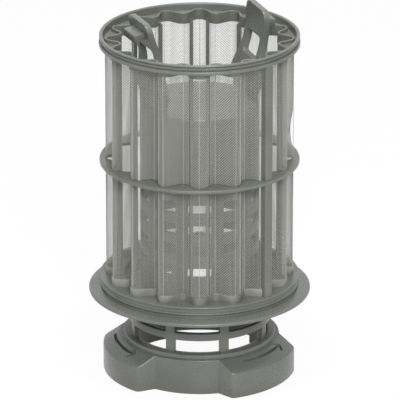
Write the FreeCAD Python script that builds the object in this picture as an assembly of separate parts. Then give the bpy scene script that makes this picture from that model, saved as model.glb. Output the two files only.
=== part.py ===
import FreeCAD, Part
import math
import os

# Dishwasher filter: a corrugated micro filter cylinder that slides over a coarse
# filter with a twist knob, two latch arms and a slotted basket.
# It stands on its twist knob, with the origin at the middle of the knob's bottom face.
# Millimetres, +Z up, -Y towards the viewer.

os.makedirs("parts", exist_ok=True)

# Coarse filter: twist knob
lip_width = 1.8
deck_land = 1.5
lobe_depth = 6.4
lobe_count = 3
recess_direction = 20.0
lobe_half_angle_outer = 30.3
lobe_half_angle_inner = 36.5
skirt_height = 9.8
knob_wall = 2.0
deck_edge_height = 13.7
knob_top = 15.2
arrow_depth = 0.5
arrow_width = 1.1
arrow_inset = 1.9
arrow_sweep = 39.0
arrow_head_length = 3.0
arrow_barb_angle = 40.0

# Coarse filter: lower cage and flange
cage_radius = 27.0
cage_wall = 2.2
post_count = 8
post_width = 3.6
post_direction = 20.5
cage_lower_gap = 5.0
cage_hoop_height = 2.9
cage_upper_gap = 6.2
flange_overhang = 4.3
flange_hub_height = 2.3
flange_rim_height = 1.3
flange_rise = 1.35
flange_plate = 2.0
flange_underside_chamfer = 1.0
seat_inset = 0.8
seat_step = 0.85
spigot_height = 1.4
spigot_wall = 1.8

# Coarse filter: slotted basket
basket_radius = 22.5
basket_wall = 1.8
basket_bar_count = 10
basket_bar_width = 4.6
basket_bar_direction = 0.0
lowest_slot_above_seat = 9.95
slot_rows = 4
slot_height = 4.2
slot_gap = 4.2
basket_height = 72.7
basket_end = 1.8

# Coarse filter: latch arms, each with its own direction and lean
right_arm_direction = 20.0
right_arm_lean = 3.85
right_arm_lean_start = 5.0
right_arm_lean_height = 26.0
left_arm_direction = 202.5
left_arm_lean = 4.7
left_arm_lean_start = 16.5
left_arm_lean_height = 21.0
arm_thickness = 2.3
arm_inset = 4.2
arm_height = 35.0
arm_width = 19.0
arm_root_width = 33.0
arm_shoulder_height = 6.5
arm_slant_height = 11.5
arm_flare_share = 0.45
arm_corner = 3.0
arm_window_width = 13.0
arm_window_height = 8.8
arm_window_above_cup = 15.5
arm_window_corner = 1.4
catch_width = 10.5
catch_height = 3.8
catch_clearance = 0.6
catch_above_cup = 27.7
catch_flat = 2.8
catch_undercut = 1.2
arm_neck_height = 4.0
arm_free_height = 16.0

# Micro filter cylinder: frame
ring_margin = 2.5
ring_clearance = 0.45
ring_ledge = 0.4
ring_skirt_wall = 1.5
bottom_ring_height = 3.7
bottom_plate = 1.4
bottom_chamfer = 0.4
ring_edge = 0.3
hem_height = 2.8
frame_height = 99.1
top_ring_height = 3.9
top_web = 0.8
top_band_proud = 1.4
top_band_drop = 2.1
lip_height = 1.3
lip_step = 0.55
collar_step = 0.3
collar_height = 1.3
collar_slope = 0.4
rim_edge = 0.15
rim_height = 0.75
rim_round = 0.2
rim_flat = 0.75
mid_ring_height = 1.3
mid_ring_above_seat = 48.8
hem_wall = 0.9
seam_rib_width = 3.7
seam_rib_depth = 1.6
seam_rib_root = 2.5
seam_rib_direction = -45.0
slim_rib_width = 1.25
slim_rib_depth = 1.5
slim_rib_share = 0.25

# Micro filter cylinder: mesh
fold_count = 16
crest_radius = 35.2
fold_depth = 5.0
crest_round = 2.8
trough_round = 2.4
mesh_wall = 0.5

# Overlap that joins touching pieces, and reach that lets a cutter pass right through
overlap = 1.0
reach = 2.0

# Radii that follow
trough_radius = crest_radius - fold_depth
ring_radius = crest_radius + ring_margin
seat_outer_radius = ring_radius - seat_inset
flange_radius = ring_radius + flange_overhang
frame_inner_radius = trough_radius - hem_wall - ring_ledge
spigot_radius = frame_inner_radius - ring_clearance
catch_radius = frame_inner_radius - catch_clearance
cage_inner_radius = cage_radius - cage_wall
knob_lip_radius = cage_radius + lip_width
recess_radius = knob_lip_radius + deck_land
knob_radius = recess_radius + lobe_depth
arrow_radius = recess_radius + arrow_inset
basket_inner_radius = basket_radius - basket_wall
arm_root_radius = basket_radius - arm_inset

# Heights that follow
hoop_bottom = knob_top + cage_lower_gap
hoop_top = hoop_bottom + cage_hoop_height
flange_hub_bottom = hoop_top + cage_upper_gap
flange_bottom = flange_hub_bottom + flange_hub_height
seat_height = flange_bottom + flange_rim_height + flange_rise
lowest_slot_bottom = seat_height + lowest_slot_above_seat
basket_top = seat_height + basket_height
arm_top = basket_top + arm_height
frame_top = seat_height + frame_height
bottom_ring_top = seat_height + bottom_ring_height
mesh_bottom = bottom_ring_top + hem_height
top_ring_bottom = frame_top - top_ring_height
mesh_top = top_ring_bottom - top_band_drop
mid_ring_bottom = seat_height + mid_ring_above_seat

UP = FreeCAD.Vector(0, 0, 1)
ORIGIN = FreeCAD.Vector(0, 0, 0)


def vec(x, y, z=0.0):
    return FreeCAD.Vector(x, y, z)


def polar(radius, degrees, z=0.0):
    angle = math.radians(degrees)
    return vec(radius * math.cos(angle), radius * math.sin(angle), z)


def ring(outer, inner, bottom, height):
    solid = Part.makeCylinder(outer, height, vec(0, 0, bottom))
    return solid.cut(Part.makeCylinder(inner, height, vec(0, 0, bottom)))


def disc(radius, bottom, height):
    return Part.makeCylinder(radius, height, vec(0, 0, bottom))


def revolved(points):
    """A solid turned round Z from (radius, height) points."""
    wire = Part.makePolygon([vec(r, 0, z) for r, z in points] + [vec(points[0][0], 0, points[0][1])])
    return Part.Face(wire).revolve(ORIGIN, UP, 360)


def prism(edges, bottom, height):
    """A solid pulled straight up from a closed flat outline."""
    face = Part.Face(Part.Wire(edges))
    face.translate(vec(0, 0, bottom))
    return face.extrude(vec(0, 0, height))


def arc(a, b, c):
    return Part.Arc(a, b, c).toShape()


def spoke(inner, outer, width, bottom, height, degrees):
    """A block that reaches outwards from the axis in one direction."""
    block = Part.makeBox(outer - inner, width, height, vec(inner, -width / 2, bottom))
    block.rotate(ORIGIN, UP, degrees)
    return block


def one_solid(shape):
    return shape.removeSplitter().Solids[0]


# Twist knob
def knob_outline(outset):
    """Three wide lobes with slanted sides, drawn inwards by a negative outset."""
    outer = knob_radius + outset
    inner = recess_radius + outset
    half_outer = lobe_half_angle_outer + math.degrees(outset / outer)
    half_inner = lobe_half_angle_inner + math.degrees(outset / inner)
    step = 360.0 / lobe_count
    edges = []
    for index in range(lobe_count):
        lobe = recess_direction + step / 2 + index * step
        start = polar(inner, lobe - half_inner)
        shoulder = polar(outer, lobe - half_outer)
        far_shoulder = polar(outer, lobe + half_outer)
        end = polar(inner, lobe + half_inner)
        edges.append(Part.makeLine(start, shoulder))
        edges.append(arc(shoulder, polar(outer, lobe), far_shoulder))
        edges.append(Part.makeLine(far_shoulder, end))
        following = polar(inner, lobe + step - half_inner)
        edges.append(arc(end, polar(inner, lobe + step / 2), following))
    return edges


def knob_roof(drop):
    """The room under the knob's sloping deck, lowered by drop."""
    return revolved([
        (0, 0),
        (knob_radius + overlap, 0),
        (knob_radius + overlap, skirt_height - drop - deck_slope * overlap),
        (recess_radius, deck_edge_height - drop),
        (0, deck_edge_height - drop),
    ])


deck_slope = (deck_edge_height - skirt_height) / (knob_radius - recess_radius)

knob = prism(knob_outline(0.0), 0, knob_top).common(knob_roof(0.0))
knob = knob.cut(prism(knob_outline(-knob_wall), 0, knob_top).common(knob_roof(knob_wall)))
knob = knob.fuse(ring(knob_lip_radius, cage_inner_radius, deck_edge_height - knob_wall,
                      knob_top - deck_edge_height + knob_wall))
knob = knob.cut(disc(cage_inner_radius, 0, knob_top))


def arrow_cutter(lobe):
    """A curved arrow sunk into one lobe's deck, pointing anticlockwise from above."""
    half = arrow_width / 2
    start = lobe - arrow_sweep / 2
    end = lobe + arrow_sweep / 2
    shaft = prism([
        arc(polar(arrow_radius - half, start), polar(arrow_radius - half, lobe),
            polar(arrow_radius - half, end)),
        Part.makeLine(polar(arrow_radius - half, end), polar(arrow_radius + half, end)),
        arc(polar(arrow_radius + half, end), polar(arrow_radius + half, lobe),
            polar(arrow_radius + half, start)),
        Part.makeLine(polar(arrow_radius + half, start), polar(arrow_radius - half, start)),
    ], 0, knob_top + overlap)
    cutter = shaft
    for side in (-1, 1):
        barb = Part.makeBox(arrow_head_length, arrow_width, knob_top + overlap,
                            vec(-half, -half, 0))
        barb.rotate(ORIGIN, UP, -90 + side * arrow_barb_angle)
        barb.translate(vec(arrow_radius, 0, 0))
        barb.rotate(ORIGIN, UP, end)
        cutter = cutter.fuse(barb)
    return cutter.cut(knob_roof(arrow_depth))


for lobe_index in range(lobe_count):
    lobe_direction = recess_direction + 360.0 / lobe_count * (lobe_index + 0.5)
    knob = knob.cut(arrow_cutter(lobe_direction))

# Lower cage, flange and spigot
post_bottom = knob_top - overlap
post_height = flange_hub_bottom + overlap - post_bottom
cage = ring(cage_radius, cage_inner_radius, hoop_bottom, cage_hoop_height)
for post_index in range(post_count):
    direction = post_direction + 360.0 / post_count * post_index
    post = spoke(cage_inner_radius - reach, cage_radius + reach, post_width, post_bottom,
                 post_height, direction)
    cage = cage.fuse(post.common(ring(cage_radius, cage_inner_radius, post_bottom, post_height)))

flange = revolved([
    (cage_inner_radius, flange_hub_bottom),
    (cage_radius, flange_hub_bottom),
    (cage_radius, seat_height - flange_plate),
    (seat_outer_radius, seat_height - flange_plate),
    (flange_radius - flange_underside_chamfer, flange_bottom),
    (flange_radius, flange_bottom),
    (flange_radius, flange_bottom + flange_rim_height),
    (seat_outer_radius, seat_height - seat_step),
    (seat_outer_radius, seat_height),
    (spigot_radius, seat_height),
    (spigot_radius, seat_height + spigot_height),
    (spigot_radius - spigot_wall, seat_height + spigot_height),
    (spigot_radius - spigot_wall, seat_height),
    (basket_inner_radius, seat_height),
    (basket_inner_radius, seat_height - flange_plate),
    (cage_inner_radius, seat_height - flange_plate),
])

# Slotted basket with a closed end
basket = ring(basket_radius, basket_inner_radius, seat_height - flange_plate / 2,
              basket_height + flange_plate / 2)
for row in range(slot_rows):
    slot_bottom = lowest_slot_bottom + row * (slot_height + slot_gap)
    band = ring(basket_radius + overlap, basket_inner_radius - overlap, slot_bottom, slot_height)
    for bar_index in range(basket_bar_count):
        direction = basket_bar_direction + 360.0 / basket_bar_count * bar_index
        band = band.cut(spoke(basket_inner_radius - reach, basket_radius + reach,
                              basket_bar_width, slot_bottom, slot_height, direction))
    basket = basket.cut(band)
basket = basket.fuse(disc(basket_radius, basket_top - basket_end, basket_end))


# Latch arms
def arm_blank(lean, lean_start, lean_height):
    """A wide strip that rises from the cup, leans outwards in two arcs and ends upright."""
    low = basket_top - basket_end / 2
    bend = basket_top + lean_start
    upright = bend + lean_height
    quarter = lean_height / 4
    top = max(arm_top, upright) + overlap

    def face_line(root):
        """One face seen from the side: its corners, and a point midway on each arc."""
        sagitta = lean / 8
        return (
            vec(root, 0, low),
            vec(root, 0, bend),
            vec(root + sagitta, 0, bend + quarter),
            vec(root + lean / 2, 0, bend + 2 * quarter),
            vec(root + lean - sagitta, 0, bend + 3 * quarter),
            vec(root + lean, 0, upright),
            vec(root + lean, 0, top),
        )

    inner = face_line(arm_root_radius)
    outer = face_line(arm_root_radius + arm_thickness)
    wire = Part.Wire([
        Part.makeLine(inner[0], inner[1]),
        arc(inner[1], inner[2], inner[3]),
        arc(inner[3], inner[4], inner[5]),
        Part.makeLine(inner[5], inner[6]),
        Part.makeLine(inner[6], outer[6]),
        Part.makeLine(outer[6], outer[5]),
        arc(outer[5], outer[4], outer[3]),
        arc(outer[3], outer[2], outer[1]),
        Part.makeLine(outer[1], outer[0]),
        Part.makeLine(outer[0], inner[0]),
    ])
    face = Part.Face(wire)
    face.translate(vec(0, -arm_root_width / 2, 0))
    return face.extrude(vec(0, arm_root_width, 0))


def arm_face_radius(lean, lean_start, lean_height, z):
    """The arm's inner face at a height above its bend, close to its two arcs."""
    share = (z - basket_top - lean_start) / lean_height
    share = min(1.0, max(0.0, share))
    if share < 0.5:
        return arm_root_radius + lean * 2 * share * share
    return arm_root_radius + lean * (1 - 2 * (1 - share) * (1 - share))


def arm_front():
    """The arm's outline seen from the axis: wide root, slanted sides, upright tab."""
    half = arm_width / 2
    half_root = arm_root_width / 2
    low = basket_top - basket_end
    shoulder = basket_top + arm_shoulder_height
    waist = shoulder + arm_slant_height
    middle = (shoulder + waist) / 2
    half_middle = half + (half_root - half) * arm_flare_share
    corner = arm_top - arm_corner
    slant = arm_corner * (1 - math.cos(math.pi / 4))
    edges = [
        Part.makeLine(vec(0, -half_root, low), vec(0, half_root, low)),
        Part.makeLine(vec(0, half_root, low), vec(0, half_root, shoulder)),
        arc(vec(0, half_root, shoulder), vec(0, half_middle, middle), vec(0, half, waist)),
        Part.makeLine(vec(0, half, waist), vec(0, half, corner)),
        arc(vec(0, half, corner), vec(0, half - slant, arm_top - slant),
            vec(0, half - arm_corner, arm_top)),
        Part.makeLine(vec(0, half - arm_corner, arm_top), vec(0, -half + arm_corner, arm_top)),
        arc(vec(0, -half + arm_corner, arm_top), vec(0, -half + slant, arm_top - slant),
            vec(0, -half, corner)),
        Part.makeLine(vec(0, -half, corner), vec(0, -half, waist)),
        arc(vec(0, -half, waist), vec(0, -half_middle, middle), vec(0, -half_root, shoulder)),
        Part.makeLine(vec(0, -half_root, shoulder), vec(0, -half_root, low)),
    ]
    return Part.Face(Part.Wire(edges)).extrude(vec(knob_radius, 0, 0))


def catch_block(root):
    """A hook on the arm's outer face that reaches over the ring's folded band. Its underside
    rises towards the arm, and root lies inside the arm's wall."""
    low = basket_top + catch_above_cup
    corners = [
        vec(root, 0, low + catch_undercut),
        vec(catch_radius, 0, low),
        vec(catch_radius, 0, low + catch_flat),
        vec(root, 0, low + catch_height),
    ]
    face = Part.Face(Part.makePolygon(corners + corners[:1]))
    face.translate(vec(0, -catch_width / 2, 0))
    return face.extrude(vec(0, catch_width, 0))


arm_envelope = revolved([
    (0, basket_top - basket_end),
    (basket_radius, basket_top - basket_end),
    (basket_radius, basket_top + arm_neck_height),
    (catch_radius, basket_top + arm_free_height),
    (catch_radius, arm_top + overlap),
    (0, arm_top + overlap),
])
window = Part.makeBox(knob_radius, arm_window_width, arm_window_height,
                      vec(0, -arm_window_width / 2, basket_top + arm_window_above_cup))
window = window.makeFillet(arm_window_corner,
                           [edge for edge in window.Edges if edge.BoundBox.XLength > arm_width])


def latch_arm(direction, lean, lean_start, lean_height):
    catch_middle = basket_top + catch_above_cup + catch_height / 2
    face_radius = arm_face_radius(lean, lean_start, lean_height, catch_middle)
    arm = arm_blank(lean, lean_start, lean_height).common(arm_front())
    arm = arm.fuse(catch_block(face_radius + arm_thickness / 2))
    arm = arm.cut(window).common(arm_envelope)
    arm.rotate(ORIGIN, UP, direction)
    return arm


coarse_filter = knob.fuse([cage, flange, basket])
coarse_filter = coarse_filter.fuse(latch_arm(right_arm_direction, right_arm_lean,
                                             right_arm_lean_start, right_arm_lean_height))
coarse_filter = coarse_filter.fuse(latch_arm(left_arm_direction, left_arm_lean,
                                             left_arm_lean_start, left_arm_lean_height))
coarse_filter = one_solid(coarse_filter)


# Corrugated outline shared by the mesh, its hems and the rings
def fold_outline(shift):
    """The folded line all round, moved outwards by shift: round crests, round troughs
    and straight flanks that touch both."""
    crest_centre = crest_radius - crest_round
    trough_centre = trough_radius + trough_round
    crest_turn = crest_round + shift
    trough_turn = trough_round - shift
    half_step = 180.0 / fold_count
    gap = polar(trough_centre, half_step) - vec(crest_centre, 0)
    distance = gap.Length
    lean = math.degrees(math.atan2(gap.y, gap.x))
    spread = math.degrees(math.acos((crest_turn + trough_turn) / distance))
    touch = lean - spread
    edges = []
    for index in range(fold_count):
        crest = -90.0 + 360.0 / fold_count * index
        centre = polar(crest_centre, crest)
        right = centre + polar(crest_turn, crest + touch)
        left = centre + polar(crest_turn, crest - touch)
        edges.append(arc(left, polar(crest_centre + crest_turn, crest), right))
        valley = crest + half_step
        valley_centre = polar(trough_centre, valley)
        valley_start = valley_centre + polar(trough_turn, crest + touch + 180.0)
        valley_end = valley_centre + polar(trough_turn, 2 * valley - (crest + touch + 180.0))
        edges.append(Part.makeLine(right, valley_start))
        edges.append(arc(valley_start, polar(trough_centre - trough_turn, valley), valley_end))
        following = crest + 2 * half_step
        edges.append(Part.makeLine(valley_end, polar(crest_centre, following)
                                   + polar(crest_turn, following - touch)))
    return edges


def folded_wall(thickness, bottom, height):
    outside = prism(fold_outline(thickness / 2), bottom, height)
    return outside.cut(prism(fold_outline(-thickness / 2), bottom, height))


mesh_screen = one_solid(folded_wall(mesh_wall, mesh_bottom, mesh_top - mesh_bottom))

# Frame rings
bottom_ring = revolved([
    (ring_radius - bottom_chamfer, seat_height),
    (ring_radius, seat_height + bottom_chamfer),
    (ring_radius, bottom_ring_top - ring_edge),
    (ring_radius - ring_edge, bottom_ring_top),
    (frame_inner_radius, bottom_ring_top),
    (frame_inner_radius, bottom_ring_top - bottom_plate),
    (ring_radius - ring_skirt_wall, bottom_ring_top - bottom_plate),
    (ring_radius - ring_skirt_wall, seat_height),
])
bottom_hem = folded_wall(hem_wall, bottom_ring_top, hem_height)

# From the bottom up: the lip, a shallow groove round the collar, and the flared rim.
collar = ring_radius - lip_step
collar_bottom = top_ring_bottom + lip_height
collar_top = collar_bottom + collar_slope + collar_height
rim = ring_radius - rim_edge
top_ring = revolved([
    (ring_radius - ring_skirt_wall, top_ring_bottom),
    (ring_radius, top_ring_bottom),
    (ring_radius, collar_bottom),
    (collar, collar_bottom + rim_edge),
    (collar + collar_step, collar_bottom + collar_slope),
    (collar + collar_step, collar_top - collar_slope),
    (collar, collar_top - rim_edge),
    (collar, collar_top),
    (rim, frame_top - rim_height),
    (rim, frame_top - rim_round),
    (rim - rim_round, frame_top),
    (rim - rim_round - rim_flat, frame_top),
    (ring_radius - ring_skirt_wall, frame_top - rim_round),
])
top_hem = folded_wall(hem_wall, mesh_top, top_ring_bottom + top_web + top_band_proud - mesh_top)
top_floor = disc(ring_radius - ring_skirt_wall / 2, top_ring_bottom, top_web).cut(
    prism(fold_outline(0.0), top_ring_bottom, top_web))

mid_ring = disc(ring_radius, mid_ring_bottom, mid_ring_height).cut(
    prism(fold_outline(mesh_wall / 2), mid_ring_bottom, mid_ring_height))

rib_length = mesh_top - mesh_bottom
seam_rib = spoke(crest_radius - seam_rib_root, crest_radius + seam_rib_depth, seam_rib_width,
                 bottom_ring_top, top_ring_bottom - bottom_ring_top, seam_rib_direction)
seam_rib = seam_rib.cut(prism(fold_outline(mesh_wall / 2), bottom_ring_top,
                              top_ring_bottom - bottom_ring_top))

# The slim ribs stand inside the folds: the front half mirrors the back half.
flank_radius = (crest_radius + trough_radius) / 2 - mesh_wall
slim_ribs = []
inner_room = prism(fold_outline(-mesh_wall / 2), mesh_bottom, rib_length)
for middle in (-90.0, 90.0):
    for side in (-1, 1):
        for index in range(fold_count // 4):
            direction = middle + side * (360.0 / fold_count * (index + slim_rib_share))
            rib = spoke(flank_radius - slim_rib_depth, flank_radius + slim_rib_depth,
                        slim_rib_width, mesh_bottom, rib_length, direction)
            slim_ribs.append(rib.common(inner_room))

frame = bottom_ring.fuse([bottom_hem, top_ring, top_floor, top_hem, mid_ring, seam_rib] + slim_ribs)
cylinder_frame = frame.removeSplitter()

# Files
NODES = {
    "coarse_filter": coarse_filter,
    "cylinder_frame": cylinder_frame,
    "mesh_screen": mesh_screen,
}

for name, shape in NODES.items():
    shape.exportStep("parts/" + name + ".step")
    print(name, shape.isValid(), len(shape.Solids), round(shape.Volume, 1),
          [round(value, 2) for value in (shape.BoundBox.XMin, shape.BoundBox.YMin, shape.BoundBox.ZMin,
                                         shape.BoundBox.XMax, shape.BoundBox.YMax, shape.BoundBox.ZMax)])
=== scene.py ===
import math

import bmesh
import bpy
from mathutils import Matrix, Vector


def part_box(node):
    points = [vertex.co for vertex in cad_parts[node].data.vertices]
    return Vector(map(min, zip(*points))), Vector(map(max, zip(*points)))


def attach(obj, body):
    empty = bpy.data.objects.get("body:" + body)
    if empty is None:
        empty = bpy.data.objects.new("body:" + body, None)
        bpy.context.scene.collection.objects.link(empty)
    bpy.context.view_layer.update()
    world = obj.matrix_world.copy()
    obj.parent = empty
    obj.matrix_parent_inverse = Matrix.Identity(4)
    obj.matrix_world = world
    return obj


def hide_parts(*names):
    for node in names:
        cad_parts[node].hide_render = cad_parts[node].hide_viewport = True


# Dishwasher filter: a corrugated micro filter cylinder over a coarse filter with a twist knob.
# Lengths are millimetres and angles are degrees until a mesh is finished in metres.

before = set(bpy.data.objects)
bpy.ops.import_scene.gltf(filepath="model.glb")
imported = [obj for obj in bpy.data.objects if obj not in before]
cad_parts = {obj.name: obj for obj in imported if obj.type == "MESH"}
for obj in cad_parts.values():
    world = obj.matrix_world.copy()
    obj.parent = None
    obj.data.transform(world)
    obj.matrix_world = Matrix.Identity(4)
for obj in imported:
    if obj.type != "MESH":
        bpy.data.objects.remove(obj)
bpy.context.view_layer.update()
MM = 0.001


def node_box(name):
    """A part's lowest and highest corners in millimetres."""
    low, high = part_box(name)
    return [round(value / MM, 2) for value in low], [round(value / MM, 2) for value in high]


coarse_high = node_box("coarse_filter")[1]
ring_low, ring_high = node_box("cylinder_frame")
mesh_low, mesh_high = node_box("mesh_screen")

# Radii and heights taken from the construction
flange_radius = coarse_high[0]
arm_top = coarse_high[2]
ring_radius = ring_high[0]
seat_height = ring_low[2]
frame_top = ring_high[2]
mesh_bottom = mesh_low[2]
mesh_top = mesh_high[2]
mesh_wall = 0.5
crest_radius = mesh_high[0] - mesh_wall / 2

# Twist knob
cage_radius = 27.0
cage_inner_radius = 24.8
knob_lip_radius = 28.8
recess_radius = 30.3
knob_radius = 36.7
lobe_count = 3
recess_direction = 20.0
lobe_half_angle_outer = 30.3
lobe_half_angle_inner = 36.5
knob_corner = 1.8
recess_corner = 0.55
knob_foot_round = 0.35
deck_edge_round = 0.35
knob_lip_round = 0.4
knob_lip_facet = 0.12
knob_wall = 2.0
skirt_height = 9.8
deck_edge_height = 13.7
knob_top = 15.2
deck_slope = (deck_edge_height - skirt_height) / (knob_radius - recess_radius)
arrow_radius = 32.2
arrow_width = 1.1
arrow_depth = 1.6
arrow_sweep = 39.0
arrow_head_length = 3.0
arrow_barb_angle = 40.0

# Lower cage and coned flange
cage_overlap = 0.6
wall_edge_round = 0.3
post_count = 8
post_width = 3.6
post_direction = 20.5
hoop_bottom = 20.2
hoop_top = 23.1
hub_bottom = 29.3
flange_bottom = 31.6
flange_plate = 2.0
flange_rim_height = 1.3
flange_chamfer = 1.0
joint_gap = 0.05
seat_radius = ring_radius - 0.8
seat_step = 0.85
spigot_radius = 28.45
spigot_wall = 1.8
spigot_height = 1.4

# Slotted basket
basket_radius = 22.5
basket_wall = 1.8
basket_top = 106.95
basket_edge_round = 1.0
bar_count = 10
bar_width = 4.6
bar_direction = 0.0
lowest_slot_bottom = seat_height + 9.95
slot_rows = 4
slot_height = 4.2
slot_pitch = 8.4

# Latch arms: direction, how far out they lean, where that starts above the basket's top, and
# the height over which they lean
latch_arm_shapes = {"right": (20.0, 3.85, 5.0, 26.0), "left": (202.5, 4.7, 16.5, 21.0)}
arm_root_radius = 18.3
arm_root_overlap = 1.0
arm_thickness = 2.3
arm_half_width = 9.5
arm_root_half_width = 16.5
arm_shoulder = basket_top + 6.5
arm_waist = basket_top + 18.0
arm_corner = 3.0
arm_edge_round = 0.35
arm_neck_height = 4.0
arm_free_height = 16.0
window_half_width = 6.5
window_height = 8.8
window_above_cup = 15.5
window_corner = 1.4
catch_radius = 28.3
catch_half_width = 5.25
catch_above_cup = 27.7
catch_height = 3.8
catch_flat = 2.8
catch_undercut = 1.2

# Cylinder rings and ribs
bottom_ring_top = seat_height + 3.7
bottom_plate = 1.4
bottom_foot_inset = 0.8
bottom_recess_depth = 0.75
hem_wall = 0.9
hem_sink = 0.3
hem_cover = 0.1
frame_inner_radius = 28.9
ring_skirt_wall = 1.5
top_ring_bottom = frame_top - 3.9
top_web = 0.8
top_band_proud = 1.4
lip_height = 1.3
collar_inset = 1.1
collar_step = 0.3
rim_inset = 0.15
rim_height = 0.75
mid_ring_bottom = seat_height + 48.8
mid_ring_height = 1.3
seam_rib_width = 3.7
seam_rib_depth = 1.6
seam_rib_root = 1.2
seam_rib_direction = -45.0
slim_rib_width = 1.25
slim_rib_depth = 1.8
slim_rib_radius = 31.6
slim_rib_share = 0.25
slim_rib_round = 0.3
slim_rib_overlap = 0.5
seat_overlap = 0.2

# Folded mesh
fold_count = 16
fold_depth = 5.0
crest_round = 2.8
trough_round = 2.4
trough_radius = crest_radius - fold_depth
# A real micro mesh is finer; its threads stand this far apart so that the picture shows them.
thread_pitch = 0.5
thread_radius = 0.069
thread_slack = 0.15
thread_slack_span = 14.0
crease_radius = 0.12
crease_proud = 0.05
dent_place = (36.0, -2.0, 95.0)
dent_reach = 11.0
dent_depth = 1.3

# How finely corners, rings and threads are divided
round_steps = 5
ring_parts = 192
upright_thread_points = 15
thin_smooth_angle = 80.0


# Plane geometry
def polar(radius, degrees, z=0.0):
    angle = math.radians(degrees)
    return Vector((radius * math.cos(angle), radius * math.sin(angle), z))


def corner_arc(before, corner, after, radius, steps):
    """The points of a round that replaces one corner of a flat outline."""
    to_before = before - corner
    to_after = after - corner
    reach = min(to_before.length, to_after.length) * 0.49
    turn = to_before.angle(to_after, math.pi)
    if turn > math.radians(178) or radius <= 0:
        return [corner.copy()] * (steps + 1)
    tangent = min(radius / math.tan(turn / 2), reach)
    start = corner + to_before.normalized() * tangent
    end = corner + to_after.normalized() * tangent
    radius = tangent * math.tan(turn / 2)
    centre = corner + (to_before.normalized() + to_after.normalized()).normalized() * (
        radius / math.sin(turn / 2))
    points = []
    for step in range(steps + 1):
        share = step / steps
        along = start.lerp(end, share) - centre
        points.append(centre + along.normalized() * radius)
    return points


def rounded(points, radii, steps=round_steps):
    """A closed flat outline with its corners rounded: one radius each, or one for all."""
    if not isinstance(radii, (list, tuple)):
        radii = [radii] * len(points)
    corners = [Vector(point[:2]) for point in points]
    result = []
    for index, corner in enumerate(corners):
        if radii[index] == 0:
            result.append(corner)
            continue
        before = corners[index - 1]
        after = corners[(index + 1) % len(corners)]
        result.extend(corner_arc(before, corner, after, radii[index], steps))
    return result


# Mesh making
def new_object(name, data):
    """An object in the scene around a mesh, a lamp or a camera."""
    piece = bpy.data.objects.new(name, data)
    bpy.context.scene.collection.objects.link(piece)
    return piece


def plain_piece(name, work):
    """Turns millimetre work into an object in metres."""
    bmesh.ops.remove_doubles(work, verts=work.verts, dist=0.0005)
    bmesh.ops.dissolve_degenerate(work, dist=0.0004, edges=work.edges)
    bmesh.ops.recalc_face_normals(work, faces=work.faces)
    bmesh.ops.scale(work, vec=(MM, MM, MM), verts=work.verts)
    mesh = bpy.data.meshes.new(name)
    work.to_mesh(mesh)
    work.free()
    return new_object(name, mesh)


def bake_modifiers(piece):
    """Applies a piece's modifiers to its mesh."""
    evaluated = piece.evaluated_get(bpy.context.evaluated_depsgraph_get())
    mesh = bpy.data.meshes.new_from_object(evaluated)
    piece.modifiers.clear()
    old = piece.data
    piece.data = mesh
    bpy.data.meshes.remove(old)
    mesh.name = piece.name


def round_edges(piece, width, angle=40.0):
    """Rounds a piece's sharp edges by a width in millimetres."""
    bevel = piece.modifiers.new("edge round", "BEVEL")
    bevel.width = width * MM
    bevel.segments = 3
    bevel.limit_method = "ANGLE"
    bevel.angle_limit = math.radians(angle)
    bake_modifiers(piece)


def dress(piece, body, node, material, smooth_angle=40.0):
    """Shading, material, body, slot and replaced node for a finished piece."""
    mesh = piece.data
    mesh.materials.clear()
    mesh.materials.append(material)
    mesh.shade_smooth()
    mesh.set_sharp_from_angle(angle=math.radians(smooth_angle))
    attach(piece, body)
    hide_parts(node)


def coarse_piece(piece, smooth_angle=40.0):
    dress(piece, "coarse_filter", "coarse_filter", coarse_plastic, smooth_angle)


def frame_piece(piece, material=None, smooth_angle=40.0):
    dress(piece, "micro_filter", "cylinder_frame", material or frame_plastic,
          smooth_angle)


def mesh_piece(piece, material):
    dress(piece, "micro_filter", "mesh_screen", material,
          thin_smooth_angle)


def loft(loops, closed=True):
    """Skins loops of equal length, one after another, into a ring or a bar with two ends."""
    work = bmesh.new()
    rows = [[work.verts.new(point) for point in loop] for loop in loops]
    count = len(rows[0])
    pairs = list(zip(rows, rows[1:]))
    if closed:
        pairs.append((rows[-1], rows[0]))
    for lower, upper in pairs:
        for index in range(count):
            following = (index + 1) % count
            work.faces.new((lower[index], lower[following], upper[following], upper[index]))
    if not closed:
        work.faces.new(rows[0])
        work.faces.new(rows[-1])
    return work


def swung(work, direction):
    """Work made at the right, turned to a direction round the axis."""
    turn = Matrix.Rotation(math.radians(direction), 3, "Z")
    bmesh.ops.rotate(work, cent=(0, 0, 0), matrix=turn, verts=work.verts)
    return work


def circle(radius, z, stations):
    return [polar(radius, degrees, z) for degrees in stations]


def rounded_profile(profile, steps=round_steps):
    """A closed section from points that give a radius, a height and their corner's round."""
    return rounded([point[:2] for point in profile], [point[2] for point in profile], steps)


even_stations = [360.0 / ring_parts * index for index in range(ring_parts)]


def turned(profile):
    """A ring turned from a profile with its corners rounded."""
    return loft([circle(radius, z, even_stations) for radius, z in rounded_profile(profile)])


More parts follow.
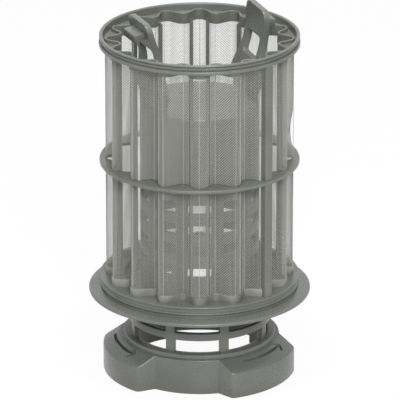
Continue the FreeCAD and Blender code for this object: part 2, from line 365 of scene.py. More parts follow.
# Folded outline shared by the mesh, its hems and the rings
def fold_points(shift, z, arc_steps=8):
    """The corrugated line, moved outwards by shift, as points all round."""
    crest_centre = crest_radius - crest_round
    trough_centre = trough_radius + trough_round
    crest_turn = crest_round + shift
    trough_turn = trough_round - shift
    half_step = 180.0 / fold_count
    gap = polar(trough_centre, half_step) - polar(crest_centre, 0)
    lean = math.degrees(math.atan2(gap.y, gap.x))
    touch = lean - math.degrees(math.acos((crest_turn + trough_turn) / gap.length))
    points = []
    for index in range(fold_count):
        crest = -90.0 + 2 * half_step * index
        valley = crest + half_step
        for step in range(arc_steps + 1):
            turn = touch * (2 * step / arc_steps - 1)
            points.append(polar(crest_centre, crest, z) + polar(crest_turn, crest + turn))
        for step in range(arc_steps + 1):
            turn = (touch - half_step) * (1 - 2 * step / arc_steps)
            points.append(polar(trough_centre, valley, z)
                          + polar(trough_turn, valley + 180 + turn))
    return points


# Directions of the folded line's points, for circles that are skinned to it
fold_stations = [math.degrees(math.atan2(point.y, point.x)) for point in fold_points(0.0, 0.0)]


def folded_section(section):
    """A ring whose section mixes folded lines and circles: a point's first value is a shift
    from the folded line when small, and a circle's radius otherwise."""
    return loft([fold_points(first, z) if first < crest_round else circle(first, z, fold_stations)
                 for first, z in section])


# Colours and materials
def linear(hex_colour):
    """An sRGB hex colour as linear values with full alpha."""
    values = [int(hex_colour[place:place + 2], 16) / 255 for place in (1, 3, 5)]
    return [value / 12.92 if value <= 0.04045 else ((value + 0.055) / 1.055) ** 2.4
            for value in values] + [1.0]


def add_node(tree, kind, inputs=None, **settings):
    """Adds a node, sets its properties, and fills or links its sockets. A node that is given
    as a value is linked by the first of its outputs that is in use."""
    node = tree.nodes.new(kind)
    for name, value in settings.items():
        setattr(node, name, value)
    for socket, value in (inputs or {}).items():
        if isinstance(value, bpy.types.Node):
            value = next(output for output in value.outputs if output.enabled)
        if isinstance(value, bpy.types.NodeSocket):
            tree.links.new(value, node.inputs[socket])
        else:
            node.inputs[socket].default_value = value
    return node


def new_material(name):
    material = bpy.data.materials.new(name)
    material.use_nodes = True
    material.node_tree.nodes.clear()
    return material, material.node_tree


def moulded_polypropylene(name, dark, light, roughness_low, roughness_high):
    """Injection moulded polypropylene: satin, with a faint spark-eroded grain that breaks up
    its shine, and slow flow marks that shift its tone."""
    flow_mm = 18.0
    grain_mm = 0.5
    material, tree = new_material(name)
    place = add_node(tree, "ShaderNodeTexCoord").outputs["Object"]
    flow = add_node(tree, "ShaderNodeTexNoise",
                    {"Vector": place, "Scale": 1 / (flow_mm * MM), "Detail": 3.0,
                     "Roughness": 0.55}).outputs["Fac"]
    grain = add_node(tree, "ShaderNodeTexNoise",
                     {"Vector": place, "Scale": 1 / (grain_mm * MM),
                      "Detail": 2.0}).outputs["Fac"]
    tone = add_node(tree, "ShaderNodeMapRange",
                    {"Value": flow, "From Min": 0.35, "From Max": 0.65})
    colour = add_node(tree, "ShaderNodeMix",
                      {"Factor": tone, "A": linear(dark), "B": linear(light)}, data_type="RGBA")
    gloss = add_node(tree, "ShaderNodeMapRange",
                     {"Value": grain, "From Min": 0.3, "From Max": 0.7,
                      "To Min": roughness_low, "To Max": roughness_high})
    bump = add_node(tree, "ShaderNodeBump",
                    {"Strength": 0.12, "Distance": 0.05 * MM, "Height": grain})
    shader = add_node(tree, "ShaderNodeBsdfPrincipled",
                      {"Base Color": colour, "Roughness": gloss, "IOR": 1.49, "Normal": bump})
    add_node(tree, "ShaderNodeOutputMaterial", {"Surface": shader})
    return material


def woven_polyester(name, dark, light):
    """Woven polyester monofilament: pale grey threads, a little glossy and see-through, so a
    single layer glows when it is lit from behind. Every second crossing, where the thread on
    top runs across the light, is painted darker as painted shade, which gives the eye the
    weave's fine checkered look."""
    material, tree = new_material(name)
    place = add_node(tree, "ShaderNodeTexCoord").outputs["Object"]
    height = add_node(tree, "ShaderNodeSeparateXYZ", {"Vector": place}).outputs["Z"]
    along = add_node(tree, "ShaderNodeAttribute", attribute_name="along").outputs["Fac"]
    cells = add_node(tree, "ShaderNodeCombineXYZ", {"X": along, "Y": height})
    # The checker paints every second crossing in the darker colour: painted shade, not a dye.
    crossing_shade = add_node(tree, "ShaderNodeTexChecker",
                      {"Vector": cells, "Scale": 1 / (thread_pitch * MM)}).outputs["Fac"]
    colour = add_node(tree, "ShaderNodeMix",
                      {"Factor": crossing_shade, "A": linear(dark), "B": linear(light)},
                      data_type="RGBA")
    shader = add_node(tree, "ShaderNodeBsdfPrincipled",
                      {"Base Color": colour, "Roughness": 0.5, "IOR": 1.54,
                       "Transmission Weight": 0.3})
    add_node(tree, "ShaderNodeOutputMaterial", {"Surface": shader})
    return material


coarse_plastic = moulded_polypropylene("moulded grey polypropylene, coarse filter",
                                       "#696C67", "#73766F", 0.24, 0.34)
frame_plastic = moulded_polypropylene("moulded grey polypropylene, cylinder frame",
                                      "#6B6E67", "#757871", 0.24, 0.34)
# The thin hem's paler colours are partly the pale mesh showing through its thin wall and partly
# painted highlight, for the light that the hems catch from the front and above.
hem_plastic_painted_highlight = moulded_polypropylene("moulded grey polypropylene, thin hem",
                                    "#72756E", "#A2A39C", 0.3, 0.42)
# For the threads and the creases the first colour is painted shade, used at every second crossing;
# the second is the threads' pale colour.
mesh_threads = woven_polyester("woven polyester monofilament", "#72736E", "#F2F3EC")
crease_threads = woven_polyester("heat set polyester crease", "#C4C5BE", "#D0D1CB")


# Twist knob
def knob_outline(outset):
    """Three wide lobes with slanted sides and small rounds at their corners."""
    outer = knob_radius + outset
    inner = recess_radius + outset
    half_outer = lobe_half_angle_outer + math.degrees(outset / outer)
    half_inner = lobe_half_angle_inner + math.degrees(outset / inner)
    step = 360.0 / lobe_count
    lobe_steps = 16
    recess_steps = 20
    points = []
    radii = []
    for index in range(lobe_count):
        lobe = recess_direction + step / 2 + index * step
        corners = [(polar(inner, lobe - half_inner), recess_corner)]
        for count in range(lobe_steps + 1):
            turn = half_outer * (2 * count / lobe_steps - 1)
            radius = knob_corner if count in (0, lobe_steps) else 0
            corners.append((polar(outer, lobe + turn), radius))
        corners.append((polar(inner, lobe + half_inner), recess_corner))
        gap = step - 2 * half_inner
        for count in range(1, recess_steps):
            corners.append((polar(inner, lobe + half_inner + gap * count / recess_steps), 0))
        points.extend(corner[0] for corner in corners)
        radii.extend(corner[1] for corner in corners)
    return rounded(points, radii)


def deck_height(radius):
    """The sloping deck's height, level inside the recess circle."""
    return deck_edge_height - max(0.0, radius - recess_radius) * deck_slope


def on_deck(points, drop=0.0):
    return [Vector((point.x, point.y, deck_height(point.length) - drop)) for point in points]


def at_height(points, z):
    return [Vector((point.x, point.y, z)) for point in points]


def toward(points, radius, share):
    """Points moved along their own direction towards a circle."""
    return [point * ((point.length + (radius - point.length) * share) / point.length)
            for point in points]


def knob_shell():
    """The hollow knob, skinned from its foot over the deck and the lip to the deck's underside."""
    foot = knob_foot_round
    outer = knob_outline(0.0)
    edge = knob_outline(-deck_edge_round)
    inner = knob_outline(-knob_wall)
    stations = [math.degrees(math.atan2(point.y, point.x)) for point in outer]
    loops = [at_height(inner, foot), at_height(knob_outline(-knob_wall + foot), 0),
             at_height(knob_outline(-foot), 0), at_height(knob_outline(-0.1), 0.1),
             at_height(outer, foot)]
    for outset, drop in ((0.0, 0.5), (-0.05, 0.28), (-0.15, 0.1), (-deck_edge_round, 0.0)):
        loops.append(on_deck(knob_outline(outset), drop))
    lip_root = knob_lip_radius + foot
    soft = knob_lip_round
    facet = knob_lip_facet
    deck_underside = deck_edge_height - knob_wall
    # Loops across the deck, closest together where its slope ends
    for share in (0.3, 0.55, 0.76, 0.83, 0.9):
        loops.append(on_deck(toward(edge, lip_root, share)))
    lip = [(lip_root, deck_edge_height), (knob_lip_radius + 0.1, deck_edge_height + 0.1),
           (knob_lip_radius, deck_edge_height + foot), (knob_lip_radius, knob_top - soft),
           (knob_lip_radius - facet, knob_top - facet), (knob_lip_radius - soft, knob_top),
           (cage_inner_radius + soft, knob_top), (cage_inner_radius + 0.1, knob_top - 0.1),
           (cage_inner_radius, knob_top - soft), (cage_inner_radius, deck_underside + 0.3),
           (cage_inner_radius + 0.3, deck_underside)]
    loops.extend(circle(radius, z, stations) for radius, z in lip)
    start = [polar(cage_inner_radius + 0.5, degrees) for degrees in stations]
    # Loops back across the deck's underside
    for share in (0.25, 0.6, 0.95):
        mixed = [a.lerp(b.to_3d(), share) for a, b in zip(start, inner)]
        loops.append(on_deck(mixed, knob_wall))
    loops.append(on_deck(inner, knob_wall + 0.4))
    return loft(loops)


def arrow_cutter():
    """One curved arrow with two barbs for each lobe, sunk into the deck."""
    work = bmesh.new()
    above = knob_top + 2.0
    shaft_steps = 16

    def slab(ends):
        """A strip between pairs of edge points, from under the deck to above it."""
        rows = []
        for near, far in ends:
            corners = [(near, deck_height(near.length) - arrow_depth),
                       (far, deck_height(far.length) - arrow_depth),
                       (far, above), (near, above)]
            rows.append([work.verts.new((point.x, point.y, z)) for point, z in corners])
        for first, second in zip(rows, rows[1:]):
            for index in range(4):
                following = (index + 1) % 4
                work.faces.new((first[index], first[following], second[following], second[index]))
        work.faces.new(rows[0])
        work.faces.new(reversed(rows[-1]))

    half = arrow_width / 2
    for index in range(lobe_count):
        lobe = recess_direction + 360.0 / lobe_count * (index + 0.5)
        end = lobe + arrow_sweep / 2
        shaft = []
        for step in range(shaft_steps + 1):
            direction = lobe + arrow_sweep * (step / shaft_steps - 0.5)
            shaft.append((polar(arrow_radius - half, direction),
                          polar(arrow_radius + half, direction)))
        slab(shaft)
        for side in (-1, 1):
            back = math.radians(end - 90 + side * arrow_barb_angle)
            run = Vector((math.cos(back), math.sin(back), 0))
            across = Vector((-run.y, run.x, 0)) * half
            tip = polar(arrow_radius, end)
            slab([(tip + run * reach - across, tip + run * reach + across)
                  for reach in (-half, arrow_head_length / 2, arrow_head_length)])
    bmesh.ops.recalc_face_normals(work, faces=work.faces)
    return work


def cut_away(piece, cutter_work):
    """Cuts millimetre work out of a finished piece."""
    bmesh.ops.scale(cutter_work, vec=(MM, MM, MM), verts=cutter_work.verts)
    mesh = bpy.data.meshes.new("cutter")
    cutter_work.to_mesh(mesh)
    cutter_work.free()
    cutter = new_object("cutter", mesh)
    cut = piece.modifiers.new("cut", "BOOLEAN")
    cut.operation = "DIFFERENCE"
    cut.solver = "EXACT"
    cut.use_self = True
    cut.object = cutter
    bpy.context.view_layer.update()
    bake_modifiers(piece)
    bpy.data.objects.remove(cutter)


twist_knob = plain_piece("twist_knob", knob_shell())
cut_away(twist_knob, arrow_cutter())
coarse_piece(twist_knob, 35.0)


# Pierced walls: the cage and the basket
def post_stations(radius, posts, width, first, steps_per_bay=10):
    """Directions round a pierced wall with the posts' edges among them, and which steps
    belong to a post."""
    half = math.degrees(math.asin(width / 2 / radius))
    bay = 360.0 / posts
    stations = []
    solid = []
    for index in range(posts):
        middle = first + bay * index
        for turn in (-half, 0.0):
            stations.append(middle + turn)
            solid.append(True)
        for step in range(steps_per_bay):
            stations.append(middle + half + (bay - 2 * half) * step / steps_per_bay)
            solid.append(False)
    return stations, solid


def join_skins(work, pairs, closed_rim=()):
    """Joins two skins along their open edges, from each point to its match, save for a rim
    that gets a plate of its own."""
    rims = [edge for edge in work.edges
            if len(edge.link_faces) == 1 and edge.verts[0] in pairs]
    for edge in rims:
        first, second = edge.verts
        if first in closed_rim and second in closed_rim:
            continue
        work.faces.new((first, second, pairs[second], pairs[first]))


def pierced_wall(outside, inside, open_rows, layout, cap=False):
    """A round wall from matching outside and inside points, with windows between its
    posts in the open rows. The layout is a radius, a count, a width and a direction."""
    stations, solid = post_stations(*layout)
    count = len(stations)
    work = bmesh.new()
    outer = [[work.verts.new(point) for point in circle(r, z, stations)] for r, z in outside]
    inner = [[work.verts.new(point) for point in circle(r, z, stations)] for r, z in inside]
    for row in range(len(outside) - 1):
        for column in range(count):
            if row in open_rows and not solid[column]:
                continue
            following = (column + 1) % count
            for skin, flip in ((outer, False), (inner, True)):
                corners = [skin[row][column], skin[row][following],
                           skin[row + 1][following], skin[row + 1][column]]
                work.faces.new(reversed(corners) if flip else corners)
    pairs = dict(zip((v for line in outer for v in line), (v for line in inner for v in line)))
    join_skins(work, pairs, outer[-1] if cap else ())
    if cap:
        work.faces.new(outer[-1])
        work.faces.new(reversed(inner[-1]))
    return work


cage_levels = [knob_top - cage_overlap, hoop_bottom, (hoop_bottom + hoop_top) / 2, hoop_top,
               hub_bottom + cage_overlap]
cage = pierced_wall([(cage_radius, z) for z in cage_levels],
                    [(cage_inner_radius + 0.03, z) for z in cage_levels], (0, 3),
                    (cage_radius, post_count, post_width, post_direction))
lower_cage = plain_piece("lower_cage", cage)
round_edges(lower_cage, wall_edge_round)
coarse_piece(lower_cage)


def basket_work():
    """The basket's wall with its rows of slots, and its closed end with a rounded edge."""
    inner_radius = basket_radius - basket_wall
    edge = basket_edge_round
    levels = [seat_height - flange_plate / 2]
    open_rows = []
    for row in range(slot_rows):
        bottom = lowest_slot_bottom + row * slot_pitch
        levels.append(bottom)
        open_rows.append(len(levels) - 1)
        levels.append(bottom + slot_height)
    outside = [(basket_radius, z) for z in levels]
    inside = [(inner_radius, z) for z in levels]
    # Above the slots the inside stays lower than the outside, to end under the closed end
    for share in (0.25, 0.5, 0.75, 1.0):
        z = levels[-1] + (basket_top - edge - levels[-1]) * share
        outside.append((basket_radius, z))
        inside.append((inner_radius, z - basket_wall + 0.2))
    for turn in (30, 60, 90):
        angle = math.radians(turn)
        across = edge * (math.cos(angle) - 1.0)
        rise = edge * (math.sin(angle) - 1.0)
        outside.append((basket_radius + across, basket_top + rise))
        inside.append((inner_radius + across, basket_top - basket_wall + rise))
    for radius in (15.0, 6.0, 1.0):
        outside.append((radius, basket_top))
        inside.append((radius, basket_top - basket_wall))
    return pierced_wall(outside, inside, open_rows,
                        (basket_radius, bar_count, bar_width, bar_direction), cap=True)


slotted_basket = plain_piece("slotted_basket", basket_work())
round_edges(slotted_basket, wall_edge_round)
coarse_piece(slotted_basket)


# Coned flange with its seat and spigot
def flange_work():
    """The turned section: hub, cone, rim, step, seat and spigot, each corner with its round."""
    basket_bore = basket_radius - basket_wall + joint_gap
    hub_radius = cage_radius + joint_gap
    return turned([
        (cage_inner_radius, hub_bottom, 0.3),
        (hub_radius, hub_bottom, 0.3),
        (hub_radius, seat_height - flange_plate, 0.5),
        (seat_radius, seat_height - flange_plate, 1.0),
        (flange_radius - flange_chamfer, flange_bottom, 0.3),
        (flange_radius, flange_bottom + 0.15, 0.35),
        (flange_radius, flange_bottom + flange_rim_height, 0.5),
        (seat_radius, seat_height - seat_step, 0.2),
        (seat_radius, seat_height, 0.3),
        (spigot_radius, seat_height, 0.3),
        (spigot_radius, seat_height + spigot_height, 0.3),
        (spigot_radius - spigot_wall, seat_height + spigot_height, 0.3),
        (spigot_radius - spigot_wall, seat_height, 0.3),
        (basket_bore, seat_height, 0.3),
        (basket_bore, seat_height - flange_plate, 0.3),
        (cage_inner_radius, seat_height - flange_plate, 0.3),
    ])


coarse_piece(plain_piece("coned_flange", flange_work()))


# Latch arms
def arm_half(z):
    """Half the arm's width at a height: wide root, slanted sides, upright tab."""
    if z < arm_waist:
        share = min(1.0, (arm_waist - z) / (arm_waist - arm_shoulder))
        flare = 0.8 * share + 0.2 * share * share
        return arm_half_width + (arm_root_half_width - arm_half_width) * flare
    rise = min(1.0, max(0.0, z - arm_top + arm_corner) / arm_corner)
    return arm_half_width - arm_corner * (1 - math.sqrt(1 - rise * rise))


def arm_face_radius(z, lean, lean_start, lean_height):
    """The arm's inner face seen from the side: upright, leaning outwards, upright again."""
    share = min(1.0, max(0.0, (z - basket_top - lean_start) / lean_height))
    if share < 0.5:
        return arm_root_radius + lean * 2 * share ** 2
    return arm_root_radius + lean * (1 - 2 * (1 - share) ** 2)


def arm_limit(z):
    """The radius that the arm may reach at a height, so that the cylinder slides past."""
    neck = basket_top + arm_neck_height
    free = basket_top + arm_free_height
    share = min(1.0, max(0.0, (z - neck) / (free - neck)))
    return basket_radius + (catch_radius - basket_radius) * share


def arm_work(direction, *lean_shape):
    """One arm as two skins joined round their edges and the window, with its catch."""
    low = basket_top - arm_root_overlap
    window_low = basket_top + window_above_cup
    window_high = window_low + window_height
    foot_steps = 14
    tab_steps = 6
    heights = [low + (window_low - low) * step / foot_steps for step in range(foot_steps)]
    corner_turns = (0, 22.5, 45, 67.5, 90)
    for turn in corner_turns:
        heights.append(window_low + window_corner * (1 - math.cos(math.radians(turn))))
    heights.append((window_low + window_high) / 2)
    for turn in reversed(corner_turns):
        heights.append(window_high - window_corner * (1 - math.cos(math.radians(turn))))
    corner = arm_top - arm_corner
    heights.extend(window_high + (corner - window_high) * step / tab_steps
                   for step in range(1, tab_steps))
    heights.extend(corner + arm_corner * math.sin(math.radians(turn)) for turn in range(0, 91, 15))

    def window_half(z):
        """Half the window's width at a height, or its narrow ends outside the window."""
        depth = min(z - window_low, window_high - z)
        narrow = window_half_width - window_corner
        if depth <= 0:
            return narrow
        depth = min(depth, window_corner)
        return narrow + math.sqrt(max(0.0, window_corner ** 2 - (window_corner - depth) ** 2))

    work = bmesh.new()
    layers = []
    for thickness in (0.0, arm_thickness):
        rows = []
        for z in heights:
            radius = arm_face_radius(z, *lean_shape) + thickness
            half = min(arm_half(z), math.sqrt(max(0.0, arm_limit(z) ** 2 - radius ** 2)))
            pane = min(window_half(z), half * 0.9)
            places = [-half, -(half + pane) / 2, -pane, -pane / 2, 0.0, pane / 2, pane,
                      (half + pane) / 2, half]
            rows.append([work.verts.new((radius, y, z)) for y in places])
        layers.append(rows)
    for row in range(len(heights) - 1):
        middle = (heights[row] + heights[row + 1]) / 2
        for column in range(8):
            if window_low < middle < window_high and 2 <= column <= 5:
                continue
            for layer, flip in ((layers[0], True), (layers[1], False)):
                corners = [layer[row][column], layer[row][column + 1],
                           layer[row + 1][column + 1], layer[row + 1][column]]
                work.faces.new(reversed(corners) if flip else corners)
    pairs = {}
    for first, second in zip(layers[0], layers[1]):
        pairs.update(zip(first, second))
    join_skins(work, pairs)
    catch_low = basket_top + catch_above_cup
    root = arm_face_radius(catch_low + catch_height / 2, *lean_shape) + arm_thickness / 2
    section = [(root, catch_low + catch_undercut), (catch_radius, catch_low),
               (catch_radius, catch_low + catch_flat), (root, catch_low + catch_height)]
    catch_rows = [[work.verts.new((r, side * catch_half_width, z)) for r, z in section]
                  for side in (-1, 1)]
    for index in range(len(section)):
        following = (index + 1) % len(section)
        work.faces.new((catch_rows[0][index], catch_rows[0][following],
                        catch_rows[1][following], catch_rows[1][index]))
    for row in catch_rows:
        work.faces.new(row)
    return swung(work, direction)


for label, shape in latch_arm_shapes.items():
    latch_arm = plain_piece("latch_arm_" + label, arm_work(*shape))
    round_edges(latch_arm, arm_edge_round, 50.0)
    coarse_piece(latch_arm)


# Cylinder frame
def bottom_ring_work():
    """From the bottom up: the foot, a lip, a recess round the side, and the top lip."""
    recess = ring_radius - bottom_recess_depth
    foot = ring_radius - bottom_foot_inset
    return turned([
        (foot, seat_height, 0.1),
        (foot + 0.1, seat_height + 0.45, 0.12),
        (ring_radius, seat_height + 0.7, 0.15),
        (ring_radius, seat_height + 1.05, 0.15),
        (recess, seat_height + 1.45, 0.2),
        (recess, seat_height + 2.85, 0.2),
        (ring_radius, seat_height + 3.15, 0.15),
        (ring_radius, bottom_ring_top, 0.4),
        (frame_inner_radius, bottom_ring_top, 0.3),
        (frame_inner_radius, bottom_ring_top - bottom_plate, 0.2),
        (ring_radius - ring_skirt_wall, bottom_ring_top - bottom_plate, 0.2),
        (ring_radius - ring_skirt_wall, seat_height, 0.2),
    ])


def hem_work(bottom, top):
    """A band that follows the folds and holds the mesh's end."""
    half = hem_wall / 2
    corners = [(-half, bottom), (half, bottom), (half, top), (-half, top)]
    return folded_section(rounded(corners, 0.25, 3))


def middle_ring_work():
    """A flat ring whose inner edge follows the folds; only its outer edge is rounded."""
    top = mid_ring_bottom + mid_ring_height
    block = rounded([(ring_radius, mid_ring_bottom), (ring_radius, top), (trough_radius, top),
                     (trough_radius, mid_ring_bottom)], 0.35)
    outer_edge = block[:2 * (round_steps + 1)]
    return folded_section([(mesh_wall / 2, mid_ring_bottom), *outer_edge, (mesh_wall / 2, top)])


def top_ring_work():
    """The folded band with its floor, and round them the lip, the grooved collar and the rim."""
    half = hem_wall / 2
    collar = ring_radius - collar_inset
    groove = collar + collar_step
    rim = ring_radius - rim_inset
    lip_top = top_ring_bottom + lip_height
    skirt = ring_radius - ring_skirt_wall
    floor_top = top_ring_bottom + top_web
    profile = [
        (-half, mesh_top, 0.25),
        (half, mesh_top, 0.25),
        (half, top_ring_bottom, 0.15),
        (ring_radius, top_ring_bottom, 0.35),
        (ring_radius, lip_top, 0.35),
        (collar, lip_top + 0.12, 0.12),
        (groove, lip_top + 0.45, 0.15),
        (groove, lip_top + 1.3, 0.2),
        (collar, lip_top + 1.5, 0.1),
        (collar, lip_top + 1.75, 0.1),
        (rim, frame_top - rim_height, 0.25),
        (rim, frame_top, 0.35),
        (skirt, frame_top, 0.5),
        (skirt, floor_top, 0.2),
        (half, floor_top, 0.15),
        (half, floor_top + top_band_proud, 0.25),
        (-half, floor_top + top_band_proud, 0.25),
    ]
    return folded_section(rounded_profile(profile, 4))


frame_piece(plain_piece("bottom_ring", bottom_ring_work()))
bottom_hem = hem_work(bottom_ring_top - hem_sink, mesh_bottom + hem_cover)
# The bottom hem gets the paler plastic, which is partly painted highlight.
frame_piece(plain_piece("bottom_hem", bottom_hem), hem_plastic_painted_highlight)
frame_piece(plain_piece("middle_ring", middle_ring_work()))
frame_piece(plain_piece("top_ring", top_ring_work()))


def seam_rib_work():
    """The wide rib: a rounded bar whose back follows the crest that it closes."""
    half = seam_rib_width / 2
    outer = crest_radius + seam_rib_depth
    back = crest_radius - seam_rib_root
    section = rounded([(back, -half), (outer, -half), (outer, half), (back, half)],
                      [0.2, 0.6, 0.6, 0.2])
    middle = (bottom_ring_top + top_ring_bottom) / 2
    levels = (bottom_ring_top - seat_overlap, middle, top_ring_bottom + seat_overlap)
    work = loft([[Vector((r, y, z)) for r, y in section] for z in levels], closed=False)
    return swung(work, seam_rib_direction)


frame_piece(plain_piece("seam_rib", seam_rib_work()))


# Geometry Nodes
def new_tree(name, sizes, places=()):
    """A node tree with one geometry input, named inputs and one geometry output."""
    tree = bpy.data.node_groups.new(name, "GeometryNodeTree")
    tree.interface.new_socket("Geometry", in_out="INPUT", socket_type="NodeSocketGeometry")
    for kind, labels in (("NodeSocketFloat", sizes), ("NodeSocketVector", places)):
        for label in labels:
            tree.interface.new_socket(label, in_out="INPUT", socket_type=kind)
    tree.interface.new_socket("Geometry", in_out="OUTPUT", socket_type="NodeSocketGeometry")
    given = tree.nodes.new("NodeGroupInput")
    return tree, given.outputs


def finish_tree(tree, result, material):
    """Makes a tree's result a plain mesh with its material, and gives it out."""
    real = add_node(tree, "GeometryNodeRealizeInstances", {"Geometry": result})
    coated = add_node(tree, "GeometryNodeSetMaterial", {"Geometry": real, "Material": material})
    add_node(tree, "NodeGroupOutput", {"Geometry": coated})


def grow(piece, tree, sizes):
    """Runs a tree on a piece with its named sizes, and keeps the result as a plain mesh."""
    modifier = piece.modifiers.new(tree.name, "NODES")
    modifier.node_group = tree
    for item in tree.interface.items_tree:
        if item.in_out == "INPUT" and item.name in sizes:
            modifier[item.identifier] = sizes[item.name]
    evaluated = piece.evaluated_get(bpy.context.evaluated_depsgraph_get())
    mesh = bpy.data.meshes.new_from_object(evaluated)
    name = piece.name
    bpy.data.objects.remove(piece)
    mesh.name = name
    return new_object(name, mesh)


def seed_object(name, points, edges=()):
    """A small mesh that a tree starts from, in metres."""
    mesh = bpy.data.meshes.new(name)
    mesh.from_pydata([Vector(point) * MM for point in points], edges, [])
    return new_object(name, mesh)


def bars_tree(material):
    """Stands one upright rounded bar on each starting point and turns it outwards."""
    tree, given = new_tree("upright bars", ("Width", "Depth", "Height", "Edge round"))
    section = add_node(tree, "GeometryNodeCurvePrimitiveQuadrilateral",
                       {"Width": given["Depth"], "Height": given["Width"]})
    soft = add_node(tree, "GeometryNodeFilletCurve",
                    {"Curve": section, "Radius": given["Edge round"], "Count": 3}, mode="POLY")
    top = add_node(tree, "ShaderNodeCombineXYZ", {"Z": given["Height"]})
    path = add_node(tree, "GeometryNodeCurvePrimitiveLine", {"End": top})
    bar = add_node(tree, "GeometryNodeCurveToMesh",
                   {"Curve": path, "Profile Curve": soft, "Fill Caps": True})
    place = add_node(tree, "GeometryNodeInputPosition")
    parts = add_node(tree, "ShaderNodeSeparateXYZ", {"Vector": place}).outputs
    turn = add_node(tree, "ShaderNodeMath", {0: parts["Y"], 1: parts["X"]}, operation="ARCTAN2")
    angles = add_node(tree, "ShaderNodeCombineXYZ", {"Z": turn})
    rotation = add_node(tree, "FunctionNodeEulerToRotation", {"Euler": angles})
    stood = add_node(tree, "GeometryNodeInstanceOnPoints",
                     {"Points": given["Geometry"], "Instance": bar, "Rotation": rotation})
    finish_tree(tree, stood, material)
    return tree


rib_feet = []
for middle in (-90.0, 90.0):
    for side in (-1, 1):
        for index in range(fold_count // 4):
            direction = middle + side * 360.0 / fold_count * (index + slim_rib_share)
            rib_feet.append(polar(slim_rib_radius, direction, mesh_bottom - slim_rib_overlap))
slim_ribs = grow(seed_object("slim_ribs", rib_feet), bars_tree(frame_plastic),
                 {"Width": slim_rib_width * MM, "Depth": slim_rib_depth * MM,
                  "Height": (mesh_top - mesh_bottom + 2 * slim_rib_overlap) * MM,
                  "Edge round": slim_rib_round * MM})
frame_piece(slim_ribs, smooth_angle=thin_smooth_angle)


def weave_tree(material):
    """Weaves threads over a folded line: rings of thread stacked at the pitch, and upright
    threads at the same pitch along the line."""
    tree, given = new_tree("woven threads",
                           ("Pitch", "Thread radius", "Height", "Unevenness", "Uneven scale",
                            "Dent reach", "Dent depth"), ("Dent place",))
    bare_line = add_node(tree, "GeometryNodeMeshToCurve", {"Mesh": given["Geometry"]})
    reached = add_node(tree, "GeometryNodeSplineParameter").outputs["Length"]
    # The length reached along the fold goes with each thread, for the painted shade at every second
    # crossing of the weave.
    line = add_node(tree, "GeometryNodeStoreNamedAttribute",
                    {"Geometry": bare_line, "Name": "along", "Value": reached},
                    data_type="FLOAT", domain="POINT")
    levels = add_node(tree, "ShaderNodeMath", {0: given["Height"], 1: given["Pitch"]},
                      operation="DIVIDE")
    level_count = add_node(tree, "FunctionNodeFloatToInt", {"Float": levels})
    rise = add_node(tree, "ShaderNodeCombineXYZ", {"Z": given["Pitch"]})
    stack = add_node(tree, "GeometryNodeMeshLine", {"Count": level_count, "Offset": rise})
    rings = add_node(tree, "GeometryNodeInstanceOnPoints", {"Points": stack, "Instance": line})
    real_rings = add_node(tree, "GeometryNodeRealizeInstances", {"Geometry": rings})
    feet = add_node(tree, "GeometryNodeCurveToPoints",
                    {"Curve": line, "Length": given["Pitch"]}, mode="LENGTH")
    top = add_node(tree, "ShaderNodeCombineXYZ", {"Z": given["Height"]})
    upright = add_node(tree, "GeometryNodeCurvePrimitiveLine", {"End": top})
    spans = add_node(tree, "GeometryNodeResampleCurve",
                     {"Curve": upright, "Count": upright_thread_points}, mode="COUNT")
    uprights = add_node(tree, "GeometryNodeInstanceOnPoints", {"Points": feet, "Instance": spans})
    real_uprights = add_node(tree, "GeometryNodeRealizeInstances", {"Geometry": uprights})
    threads = tree.nodes.new("GeometryNodeJoinGeometry")
    for part in (real_rings, real_uprights):
        tree.links.new(part.outputs["Geometry"], threads.inputs["Geometry"])
    place = add_node(tree, "GeometryNodeInputPosition")
    wander = add_node(tree, "ShaderNodeTexNoise",
                      {"Vector": place, "Scale": given["Uneven scale"], "Detail": 1.0},
                      noise_dimensions="3D").outputs["Color"]
    centred = add_node(tree, "ShaderNodeVectorMath", {0: wander, 1: (0.5, 0.5, 0.5)},
                       operation="SUBTRACT")
    flat = add_node(tree, "ShaderNodeVectorMath", {0: centred, 1: (1.0, 1.0, 0.0)},
                    operation="MULTIPLY")
    slack = add_node(tree, "ShaderNodeVectorMath", {0: flat, "Scale": given["Unevenness"]},
                     operation="SCALE")
    away = add_node(tree, "ShaderNodeVectorMath", {0: place, 1: given["Dent place"]},
                    operation="DISTANCE")
    push = add_node(tree, "ShaderNodeMapRange",
                    {"Value": away, "From Max": given["Dent reach"],
                     "To Min": given["Dent depth"], "To Max": 0.0},
                    interpolation_type="SMOOTHSTEP")
    outward = add_node(tree, "ShaderNodeVectorMath", {0: given["Dent place"], 1: (1.0, 1.0, 0.0)},
                       operation="MULTIPLY")
    unit = add_node(tree, "ShaderNodeVectorMath", {0: outward}, operation="NORMALIZE")
    dent = add_node(tree, "ShaderNodeVectorMath", {0: unit, "Scale": push}, operation="SCALE")
    offset = add_node(tree, "ShaderNodeVectorMath", {0: slack, 1: dent}, operation="SUBTRACT")
    moved = add_node(tree, "GeometryNodeSetPosition", {"Geometry": threads, "Offset": offset})
    section = add_node(tree, "GeometryNodeCurvePrimitiveCircle",
                       {"Resolution": 4, "Radius": given["Thread radius"]})
    skin = add_node(tree, "GeometryNodeCurveToMesh",
                    {"Curve": moved, "Profile Curve": section, "Fill Caps": True})
    finish_tree(tree, skin, material)
    return tree


def folded_line(name, z, arc_steps=5):
    """The corrugated line as a seed, which starts and ends behind the seam rib."""
    points = fold_points(0.0, z, arc_steps)
    seam_crest = round((seam_rib_direction + 90.0) / 360.0 * fold_count)
    start = (2 * seam_crest + 0.5) * (arc_steps + 1)
    points = points[int(start):] + points[:int(start)]
    count = len(points)
    return seed_object(name, points, [(index, (index + 1) % count) for index in range(count)])


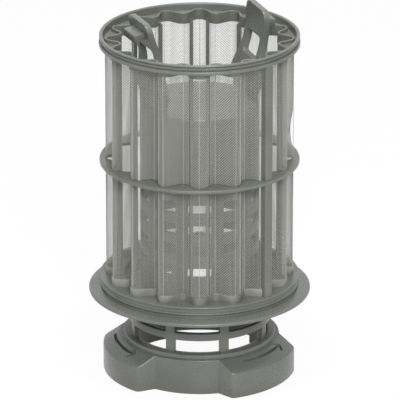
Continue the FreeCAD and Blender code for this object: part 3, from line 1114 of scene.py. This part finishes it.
weave = weave_tree(mesh_threads)
for name, bottom, top in (("mesh_lower", mesh_bottom, mid_ring_bottom),
                          ("mesh_upper", mid_ring_bottom + mid_ring_height, mesh_top)):
    start = bottom + thread_pitch / 2
    piece = grow(folded_line(name, start), weave,
                 {"Pitch": thread_pitch * MM, "Thread radius": thread_radius * MM,
                  "Height": (top - start) * MM, "Unevenness": thread_slack * MM,
                  "Uneven scale": 1 / (thread_slack_span * MM),
                  "Dent place": [value * MM for value in dent_place],
                  "Dent reach": dent_reach * MM, "Dent depth": dent_depth * MM})
    mesh_piece(piece, mesh_threads)


# Heat set creases at each crest and trough
crease_feet = []
for index in range(fold_count):
    crest = -90.0 + 360.0 / fold_count * index
    crease_feet.append(polar(crest_radius + crease_proud, crest, mesh_bottom))
    crease_feet.append(polar(trough_radius - crease_proud, crest + 180.0 / fold_count, mesh_bottom))
fold_creases = grow(seed_object("fold_creases", crease_feet), bars_tree(crease_threads),
                    {"Width": 2 * crease_radius * MM, "Depth": 2 * crease_radius * MM,
                     "Height": (mesh_top - mesh_bottom) * MM, "Edge round": crease_proud * MM})
mesh_piece(fold_creases, crease_threads)


# Floor, light and camera
def white_floor():
    """A pale floor that reads as white and keeps a soft shadow."""
    reach = 6.0
    glow_share = 0.95
    corners = [(-reach, -reach, 0), (reach, -reach, 0), (reach, reach, 0), (-reach, reach, 0)]
    mesh = bpy.data.meshes.new("floor")
    mesh.from_pydata(corners, [], [(0, 1, 2, 3)])
    floor = new_object("floor", mesh)
    material, tree = new_material("white paper floor")
    surface = add_node(tree, "ShaderNodeBsdfDiffuse", {"Color": linear("#F7F7F7")})
    glow = add_node(tree, "ShaderNodeEmission", {"Color": (1, 1, 1, 1), "Strength": 1.0})
    mixed = add_node(tree, "ShaderNodeMixShader", {0: glow_share, 1: surface, 2: glow})
    rays = add_node(tree, "ShaderNodeLightPath").outputs
    seen = add_node(tree, "ShaderNodeMath",
                    {0: rays["Is Camera Ray"], 1: rays["Is Glossy Ray"]}, operation="MAXIMUM")
    choice = add_node(tree, "ShaderNodeMixShader", {0: seen, 1: surface, 2: mixed})
    add_node(tree, "ShaderNodeOutputMaterial", {"Surface": choice})
    mesh.materials.append(material)


def white_surroundings(level):
    """Even light from all round, and plain white where the camera sees past the floor."""
    world = bpy.data.worlds.new("white studio")
    bpy.context.scene.world = world
    world.use_nodes = True
    tree = world.node_tree
    tree.nodes.clear()
    rays = add_node(tree, "ShaderNodeLightPath").outputs
    direct = add_node(tree, "ShaderNodeMath",
                      {0: rays["Is Camera Ray"], 1: rays["Is Transmission Ray"]},
                      operation="MAXIMUM")
    seen = add_node(tree, "ShaderNodeMath", {0: direct, 1: rays["Is Glossy Ray"]},
                    operation="MAXIMUM")
    strength = add_node(tree, "ShaderNodeMapRange",
                        {"Value": seen, "To Min": level, "To Max": 1.0})
    sky = add_node(tree, "ShaderNodeBackground", {"Color": (1, 1, 1, 1), "Strength": strength})
    add_node(tree, "ShaderNodeOutputWorld", {"Surface": sky})


def soft_box(name, place, watts):
    """A square lamp that faces the middle of the object."""
    middle = Vector((0, 0, 0.07))
    light = bpy.data.lights.new(name, "AREA")
    light.shape = "SQUARE"
    light.size = soft_box_side
    light.energy = watts
    lamp = new_object(name, light)
    lamp.location = place
    lamp.rotation_euler = (middle - Vector(place)).to_track_quat("-Z", "Y").to_euler()


# The lamps' places and sides are metres and their strengths are watts.
surroundings_level = 0.12
soft_box_side = 0.5
soft_boxes = {"soft box above": ((0.0, -0.1, 1.2), 9.5),
              "soft box in front": ((0.12, -1.3, 0.95), 16.5)}
white_floor()
white_surroundings(surroundings_level)
for name, (place, watts) in soft_boxes.items():
    soft_box(name, place, watts)

# The camera looks at the object's middle from in front and above, from far off.
camera_distance = 1.9
camera_elevation = math.radians(20.506)
camera_lens = 452.3
sensor_width = 36.0
aim_height = 0.065
image_side = 400
picture_middle = (199.54, 204.87)

camera_data = bpy.data.cameras.new("camera")
camera_data.lens = camera_lens
camera_data.sensor_width = sensor_width
camera_data.shift_x = (image_side / 2 - picture_middle[0]) / image_side
camera_data.shift_y = (picture_middle[1] - image_side / 2) / image_side
camera_data.clip_end = 30.0
camera = new_object("camera", camera_data)
camera.location = (0, -camera_distance * math.cos(camera_elevation),
                   aim_height + camera_distance * math.sin(camera_elevation))
camera.rotation_euler = (math.pi / 2 - camera_elevation, 0, 0)
bpy.context.scene.camera = camera
bpy.context.scene.view_settings.view_transform = "Standard"
